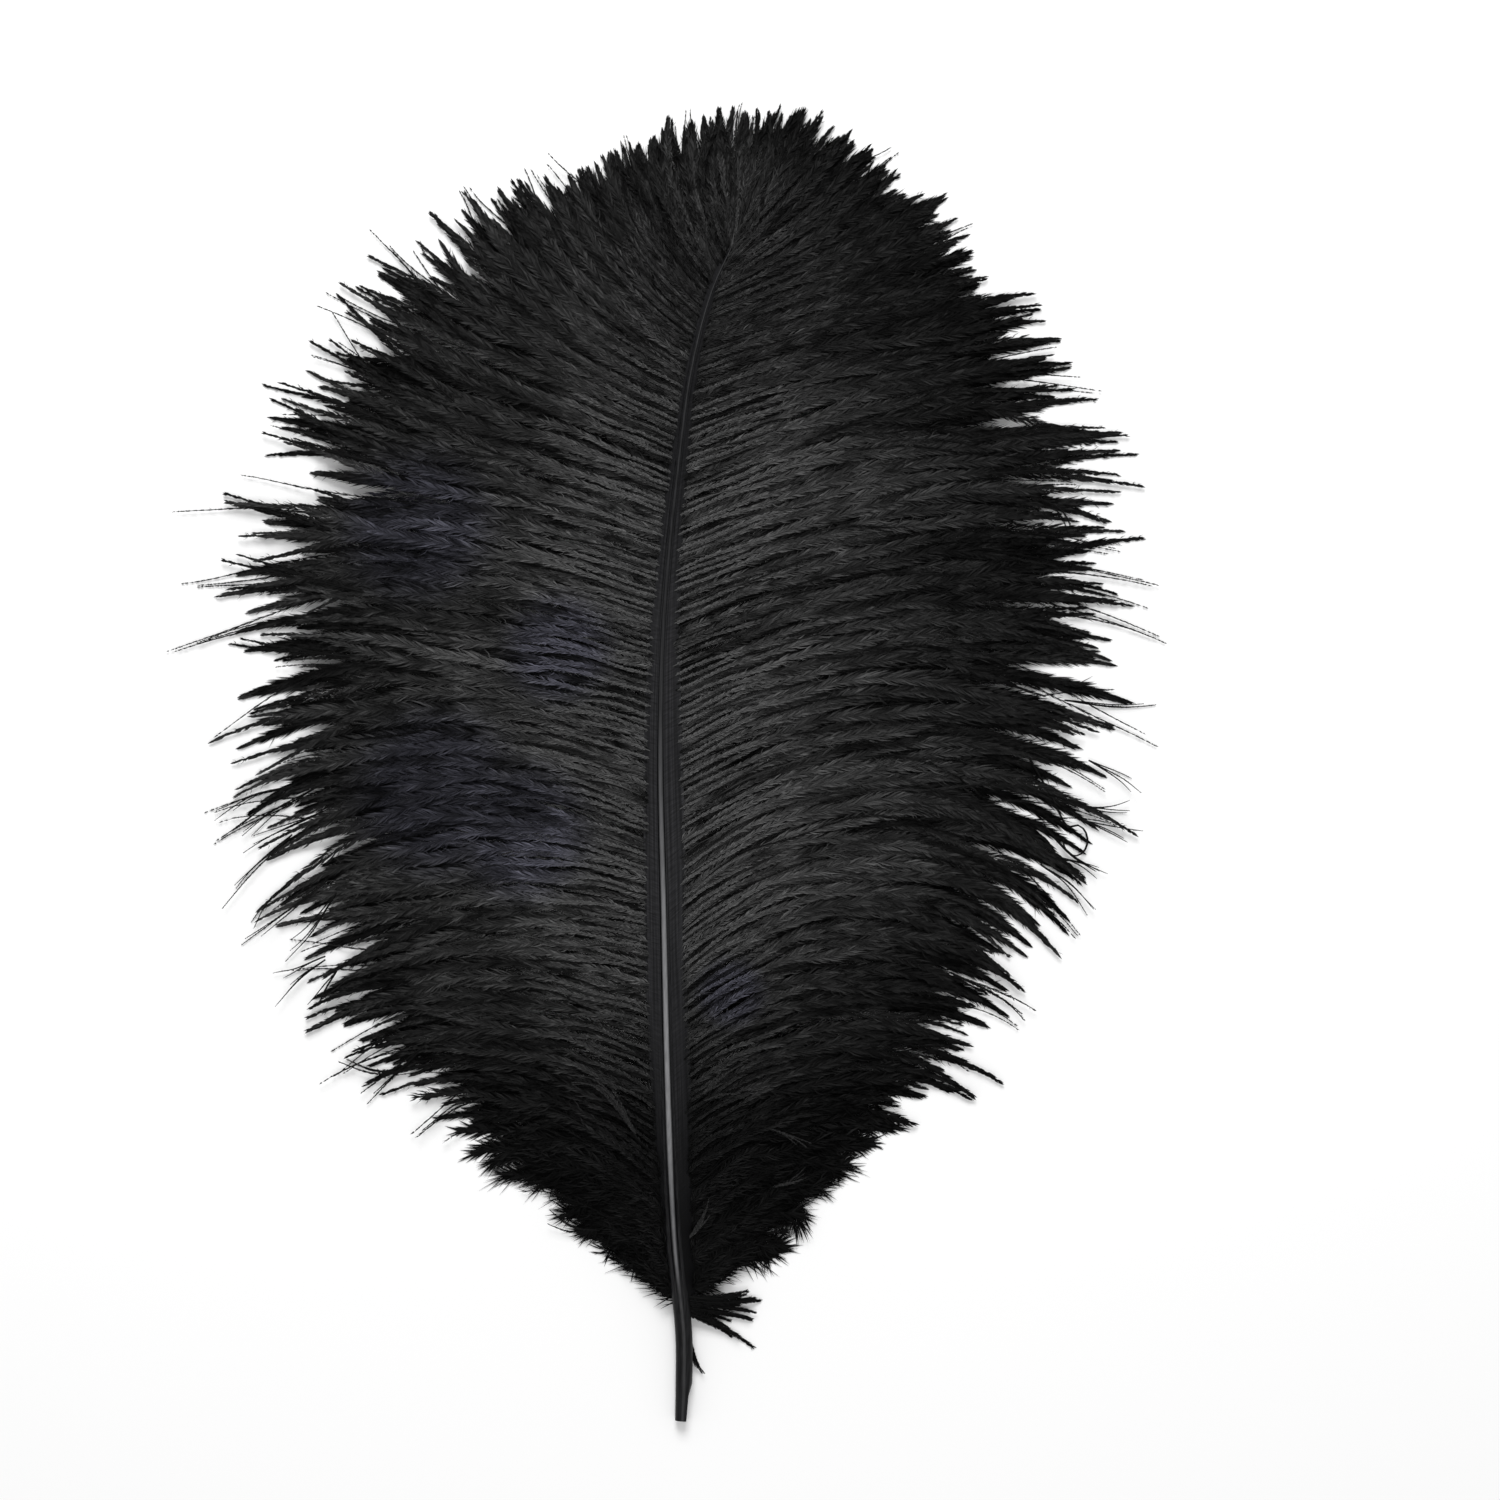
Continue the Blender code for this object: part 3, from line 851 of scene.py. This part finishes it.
def barbules(plan, spacing, width, size, blades, first):
    """The fringe of all the barbs of a plan, whose first barbules are as long as first says."""
    points, away = plan["points"], plan["away"]
    along, sideways, up = frames(points)
    length = away[:, -1]
    counts = np.maximum((length - plan["edge"]) / spacing, 1).astype(int)
    parts = []
    for hand in (-1, 1):
        barb = np.repeat(np.arange(len(counts)), counts)
        order = np.arange(len(barb)) - np.repeat(np.cumsum(counts) - counts, counts)
        share = (order + chance.uniform(0, 1, len(barb))) / counts[barb]
        start = plan["edge"] + chance.uniform(-0.5, 0.7, len(counts)) * MM - 0.6 * (first - 0.8 * MM)
        start = np.clip(start, 0, length * 0.5)
        place = (start[barb] + share * (length - start)[barb]) / length[barb]
        base, fore, side, high = (
            sample(a, barb, place * (points.shape[1] - 1)) for a in (points, along, sideways, up)
        )
        from_band = (place * length[barb] - plan["edge"][barb]) / MM
        downy = plan["downy"][barb]
        closing = ease(plan["taper"][barb], 0, (1 - place) * length[barb]) * (1 - 0.6 * downy)
        long = first + (LONGEST - first) * ease(2, 40, from_band) + 2 * MM * downy
        long = size * long * (1 - 0.65 * closing) * chance.uniform(0.7, 1.2, len(barb))
        degrees = LEAN - LESS_OUT * ease(0, 18, from_band) - LESS_AT_TIP * closing
        degrees = degrees + MORE_IN_DOWN * downy
        degrees = degrees + chance.normal(0, 1, len(barb)) * (5 + 12 * downy)
        stray = chance.uniform(0, 1, len(barb)) < STRAY_SHARE
        degrees = np.where(stray, chance.uniform(*STRAY_DEGREES, len(barb)), degrees)
        long = np.where(stray, long * 0.8, long)
        angle = np.radians(degrees)[:, None]
        sag = (chance.uniform(0.1, 0.4, len(barb)) * long)[:, None]
        out = fore * np.cos(angle) + side * (hand * np.sin(angle))
        end = fore * np.cos(angle * 0.5) + side * (hand * np.sin(angle * 0.5))
        middle = base + out * (long * 0.5)[:, None] - high * sag * 0.15
        tip = middle + end * (long * 0.5)[:, None] - high * sag * 0.5
        for spots in (middle, tip):
            spots[:, 2] = np.maximum(spots[:, 2], LOWEST_POINT)
        roll = -hand * ROLL_DEGREES + chance.normal(0, ROLL_SPREAD, len(barb))
        roll = np.radians(roll)[:, None]
        across = unit(np.cross(out, high)) * np.cos(roll) + high * np.sin(roll)
        wide = np.where(stray, 0.6, 1 + 0.35 * ease(15, 50, from_band) + 0.4 * closing)
        across = across * (width / 2 * wide)[:, None]
        tone = sample(plan["tone"], barb, place * (points.shape[1] - 1))
        tone = np.clip(tone * (1 + chance.normal(0, 0.3, len(barb))), 0, 1)
        parts.append(blades(base, middle, tip, across, tone))
    return parts


def join(parts):
    """Several (points, triangles, tone) as one."""
    starts = np.cumsum([0] + [len(p[0]) for p in parts[:-1]])
    return (
        np.concatenate([p[0] for p in parts]),
        np.concatenate([p[1] + s for p, s in zip(parts, starts)]),
        np.concatenate([p[2] for p in parts]),
    )


# %% [markdown]
# A layer may hold many triangles, so the barbs of a plan are shared out over as many pieces as it
# takes to keep each below a limit.

# %% Pieces from a plan
PIECE_TRIANGLES = 170000  # by a rough count, which comes out a little high


def make_barbs(
    name, plan, thickness, spacing=None, width=0.0, size=1.0, blades=bent_blades, first=0.8 * MM
):
    """Joined meshes of barbs with their fringes, as many as keep each below the triangle limit."""
    count = len(plan["tone"])
    grown = np.cumsum(plan["away"][:, -1])
    per_blade = 2 if blades is bent_blades else 1
    total = count * LINE_STEPS * 6 + (grown[-1] / spacing * 2 * per_blade if spacing else 0)
    pieces = max(1, math.ceil(total / PIECE_TRIANGLES))
    ends = [int(np.searchsorted(grown, grown[-1] * k / pieces)) for k in range(pieces)] + [count]
    for number, (low, high) in enumerate(zip(ends, ends[1:])):
        some = {key: value[low:high] for key, value in plan.items()}
        parts = [stems(some, thickness)]
        if spacing:
            parts += barbules(some, spacing, width, size, blades, first)
        points, triangles, tone = join(parts)
        word = f"{name}_{number + 1}" if pieces > 1 else name
        piece = mesh_piece(word, points, triangles, tone)
        dress(piece, BARBS)
        print(piece.name, len(triangles), "triangles")


# %% [markdown]
# ## The layers of the vane
#
# The barbs of a real plume are so many, and so long and soft, that they lie over each other. Three
# layers stand for that. The top one has the finest barbules, and its colour is painted lightest, above
# all beside the shaft, where its barbs stand up as ribs and the lightness is a painted highlight. The
# second lies a little deeper and is painted darker, and the third is a mat of simple blades painted
# darker still, which hides nearly all of the paper: painted shade under the barbs above.

# %% The barbs on top
for side, word, reach in ((RIGHT, "right", (0.84, 1.08)), (LEFT, "left", (0.8, 1.05))):
    plan = plan_barbs(
        side, even_shares(side, 140), reach, wander=1.0,
        rise=0.35 * MM, spread=0.3 * MM, light=0.375, painted_light_by_shaft=2.95,
    )
    make_barbs(f"barbs_{word}", plan, 0.3 * MM, 0.29 * MM, 0.24 * MM)

# %% The barbs between
for side, word, reach in ((RIGHT, "right", (0.82, 1.03)), (LEFT, "left", (0.78, 0.99))):
    plan = plan_barbs(
        side, even_shares(side, 130), reach, wander=1.0,
        rise=-0.4 * MM, spread=0.4 * MM, light=0.31, painted_light_by_shaft=1.85, taper=0.8,
    )
    make_barbs(f"middle_barbs_{word}", plan, 0.3 * MM, 0.38 * MM, 0.28 * MM, first=2.0 * MM)

# %% The barbs below
for side, word, reach in ((RIGHT, "right", (0.86, 1.0)), (LEFT, "left", (0.82, 0.97))):
    plan = plan_barbs(
        side, even_shares(side, 150), reach, wander=0.6,
        rise=-1.2 * MM, spread=0.4 * MM, light=0.18, painted_light_by_shaft=2.0, taper=0.5,
    )
    make_barbs(
        f"under_barbs_{word}", plan, 0.4 * MM, 0.36 * MM, 0.52 * MM, 1.1, straight_blades, 3.6 * MM
    )

# %% [markdown]
# Three more kinds of barbs are added where the real plume has more of them: some that fan out round
# the tip, ruffled down by the quill, and thin hairs with few barbules that reach past the edge.

# %% The barbs round the tip
for side, word in ((RIGHT, "right"), (LEFT, "left")):
    plan = plan_barbs(
        side, even_shares(side, 80, 0.84, 1.0), (0.5, 1.02), wander=1.5,
        rise=-0.3 * MM, spread=0.3 * MM, light=0.3, painted_light_by_shaft=0.8,
    )
    make_barbs(f"tip_barbs_{word}", plan, 0.3 * MM, 0.33 * MM, 0.26 * MM, first=2.0 * MM)

# %% The down by the quill
for side, word in ((RIGHT, "right"), (LEFT, "left")):
    plan = plan_barbs(
        side, even_shares(side, 70, 0.0, 0.22), (0.6, 1.0), wander=1.5,
        rise=-0.6 * MM, spread=0.5 * MM, light=0.1, painted_light_by_shaft=1.0,
    )
    make_barbs(f"down_{word}", plan, 0.3 * MM, 0.22 * MM, 0.26 * MM, 1.3, straight_blades)

# %% The hairs that reach past the edge
for side, word in ((RIGHT, "right"), (LEFT, "left")):
    plan = plan_barbs(
        side, even_shares(side, 90), (0.88, 1.12), wander=1.0,
        rise=0.1 * MM, spread=0.3 * MM, light=0.1, painted_light_by_shaft=1.0, thins=0.5,
    )
    make_barbs(f"hairs_{word}", plan, 0.3 * MM, 0.8 * MM, 0.2 * MM, 0.4, straight_blades)

# %% [markdown]
# ## Barbs that stand apart
#
# Where the bare quill ends, a short tuft of torn barbs is left on the right, and one more barb
# curves down beside the quill. Further up some barbs have come loose from their locks, and on the
# right one has curled into a ring. A few points of each are given in millimetres, and it is a smooth
# curve through them.

# %% Curves of single barbs


def over_vane(curve, lift):
    """A curve of X and Y laid on top of the vane, or past its edge on the surface below."""
    places = []
    for x, y in curve:
        grid = VANE[RIGHT if x > 0 else LEFT].reshape(-1, 3)
        nearest = grid[np.argmin(np.hypot(grid[:, 0] - x, grid[:, 1] - y))]
        places.append((x, y, nearest[2] + lift))
    return np.array(places)


def loose_barbs(curves, tone, strands, jitter, shorter=0.0, downy=0.0, lift=0.5 * MM):
    """A plan of barbs that follow curves through a few points, given in millimetres."""
    lines = []
    for curve in curves:
        curve = np.array(curve, float) * MM
        if curve.shape[1] == 2:
            curve = over_vane(curve, lift)
        run = np.concatenate([[0], np.cumsum(np.linalg.norm(np.diff(curve, axis=0), axis=1))])
        table = np.column_stack([run / run[-1], curve])
        for _ in range(strands):
            end = chance.uniform(1 - shorter, 1)
            line = read_table(table, np.linspace(0, end, LINE_STEPS + 1))[:, 1:]
            spread = chance.normal(0, jitter, (2, 3))
            rel = np.linspace(0, 1, LINE_STEPS + 1)[:, None]
            line = line + spread[0] * rel + spread[1] * rel**2
            line[:, 2] = np.maximum(line[:, 2], FLOOR_GAP)
            lines.append(line)
    points = np.array(lines)
    steps = np.linalg.norm(np.diff(points, axis=1), axis=2)
    away = np.concatenate([np.zeros((len(points), 1)), np.cumsum(steps, axis=1)], axis=1)
    rel = away / away[:, -1:]
    return {
        "points": points, "rel": rel, "away": away,
        "edge": np.zeros(len(points)), "tone": np.full(rel.shape, tone),
        "downy": np.full(len(points), downy), "taper": away[:, -1] * 0.6,
        "thins": np.full(len(points), 0.55),
    }


# %% The torn tuft and the barb below it
TORN_TUFT = (
    ((4.2, -112.2, 4.0), (10.0, -112.8, 3.0), (15.0, -112.4, 2.0), (20.6, -111.4, 0.9)),
    ((4.2, -113.0, 3.8), (10.0, -113.5, 2.8), (15.0, -113.3, 1.7), (21.0, -112.8, 0.8)),
    ((4.2, -113.8, 3.7), (9.5, -114.3, 2.6), (14.0, -114.7, 1.5), (18.9, -115.2, 0.8)),
    ((4.2, -114.5, 3.5), (9.0, -115.4, 2.2), (14.0, -116.4, 1.2), (19.7, -117.8, 0.7)),
    ((4.2, -115.0, 3.5), (8.0, -116.4, 2.2), (11.0, -117.4, 1.2), (14.8, -119.0, 0.7)),
    ((4.4, -115.5, 3.4), (8.5, -117.3, 2.0), (13.0, -119.4, 1.1), (18.4, -122.9, 0.6)),
)
CURVED_BARB = ((4.9, -118.9, 3.2), (5.7, -123.6, 2.0), (7.0, -127.5, 1.2), (9.0, -130.2, 0.6))

tuft = loose_barbs(TORN_TUFT, 0.03, strands=3, jitter=0.45 * MM, shorter=0.25, downy=0.3)
make_barbs("torn_tuft", tuft, 0.4 * MM, 0.14 * MM, 0.24 * MM, size=0.9)
curved = loose_barbs([CURVED_BARB], 0.03, strands=6, jitter=0.22 * MM, shorter=0.35)
make_barbs("curved_barb", curved, 0.45 * MM, 0.2 * MM, 0.24 * MM, size=0.9)

# %% A curl and stray barbs
CURL_MIDDLE, CURL_RADIUS = (86.6, -16.2), (2.6, 3.3)
CURL_TURNS = np.radians(np.linspace(125, -200, 9))  # clockwise from the upper left
curl = [(77.0, 1.0), (81.5, -6.8)]
curl += [
    (CURL_MIDDLE[0] + CURL_RADIUS[0] * math.cos(a), CURL_MIDDLE[1] + CURL_RADIUS[1] * math.sin(a))
    for a in CURL_TURNS
]
CURL_END = ((80.0, -13.0), (85.7, -19.2), (91.6, -23.0))
STRAYS = (
    ((-13.7, -98.5), (-20.0, -98.5), (-25.4, -95.5)),
    ((-48.0, -63.0), (-60.0, -66.0), (-69.0, -63.5)),
    ((-50.0, -59.0), (-60.0, -68.0), (-66.0, -73.5)),
    ((60.0, -44.0), (72.0, -50.0), (80.0, -57.0)),
    ((79.0, 56.0), (84.0, 53.0), (87.5, 47.0)),
)
make_barbs("curl", loose_barbs([curl, CURL_END], 0.03, 2, 0.15 * MM), 0.5 * MM)
make_barbs("strays", loose_barbs(STRAYS, 0.05, 3, 0.6 * MM, 0.3), 0.3 * MM, 0.25 * MM, 0.16 * MM, 0.8)

# %% [markdown]
# The edge is not even: some locks end in long spikes, others in thin threads with very short
# barbules. And on the down by the quill, which is painted dark as shade, lie a few lighter barbs.

# %% Long spikes past the edge
SPIKES = (
    ((-44.0, 76.0), (-58.0, 88.2), (-70.2, 100.2)),
    ((-48.0, 72.0), (-63.7, 82.5), (-77.2, 90.6)),
    ((-54.0, 70.0), (-71.0, 76.5), (-85.3, 80.5)),
    ((-58.0, 62.5), (-73.0, 66.4), (-84.8, 69.5)),
    ((-62.0, 46.0), (-79.0, 52.2), (-93.3, 56.8)),
    ((-63.0, 36.0), (-80.0, 40.4), (-93.7, 44.1)),
    ((-66.0, 22.5), (-84.0, 24.2), (-98.4, 26.1)),
    ((64.0, 68.0), (81.0, 71.0), (94.1, 71.0)),
    ((68.0, 61.0), (84.0, 62.0), (96.0, 61.0)),
)
spikes = loose_barbs(SPIKES, 0.06, strands=3, jitter=0.5 * MM, shorter=0.45)
make_barbs("spikes", spikes, 0.35 * MM, 0.35 * MM, 0.26 * MM, 1.0, first=1.6 * MM)

# %% Lighter barbs that lie on the dark down
LIGHT_BARBS = (
    ((-5.9, -77.5), (-13.7, -67.4), (-22.2, -66.3)),
    ((8.0, -69.1), (12.7, -65.3), (17.6, -62.7)),
    ((8.4, -70.5), (14.0, -68.6), (20.0, -68.8)),
    ((20.1, -76.0), (27.1, -78.6), (32.8, -81.8)),
    ((22.8, -89.2), (27.5, -87.7), (31.3, -85.6)),
    ((5.3, -99.7), (8.5, -95.5), (10.6, -91.3)),
)
light = loose_barbs(LIGHT_BARBS, 0.3, strands=5, jitter=0.8 * MM, shorter=0.5, lift=0.9 * MM)
make_barbs("light_barbs", light, 0.24 * MM, 0.35 * MM, 0.16 * MM, 0.8)

# %% Thin threads between the locks of both edges
THREADS = (
    ((-79.4, -4.9), (-86.8, -7.0), (-96.8, -13.6)),
    ((-77.3, -5.2), (-84.3, -9.1), (-93.3, -17.2)),
    ((-73.8, -5.2), (-82.6, -10.1), (-90.1, -16.4)),
    ((-72.0, -10.1), (-83.3, -14.7), (-90.3, -18.3)),
    ((-78.7, -15.0), (-87.8, -23.1), (-95.4, -31.5)),
    ((-77.3, -23.1), (-84.7, -30.5), (-88.0, -36.1)),
    ((-71.7, -25.2), (-81.5, -32.9), (-89.8, -38.9)),
    ((-69.3, -27.3), (-75.6, -35.8), (-81.5, -41.4)),
    ((-71.7, -40.7), (-78.7, -43.1), (-84.4, -43.5)),
    ((-71.7, -41.4), (-77.3, -45.2), (-82.6, -50.5)),
    ((-69.3, -43.8), (-71.7, -47.3), (-74.2, -52.9)),
    ((84.4, 13.4), (96.3, 12.2), (105.1, 12.6)),
    ((89.5, 0.7), (96.3, -3.5), (100.5, -7.7)),
    ((87.8, -9.0), (94.6, -10.3), (99.6, -10.7)),
    ((88.6, -12.0), (94.6, -14.5), (99.6, -17.0)),
    ((82.7, -19.6), (87.8, -21.3), (92.0, -23.8)),
    ((79.3, -21.3), (85.3, -25.5), (90.5, -32.3)),
)
threads = loose_barbs(THREADS, 0.06, strands=3, jitter=0.8 * MM, shorter=0.3)
make_barbs("threads", threads, 0.32 * MM, 0.3 * MM, 0.16 * MM, 0.45)
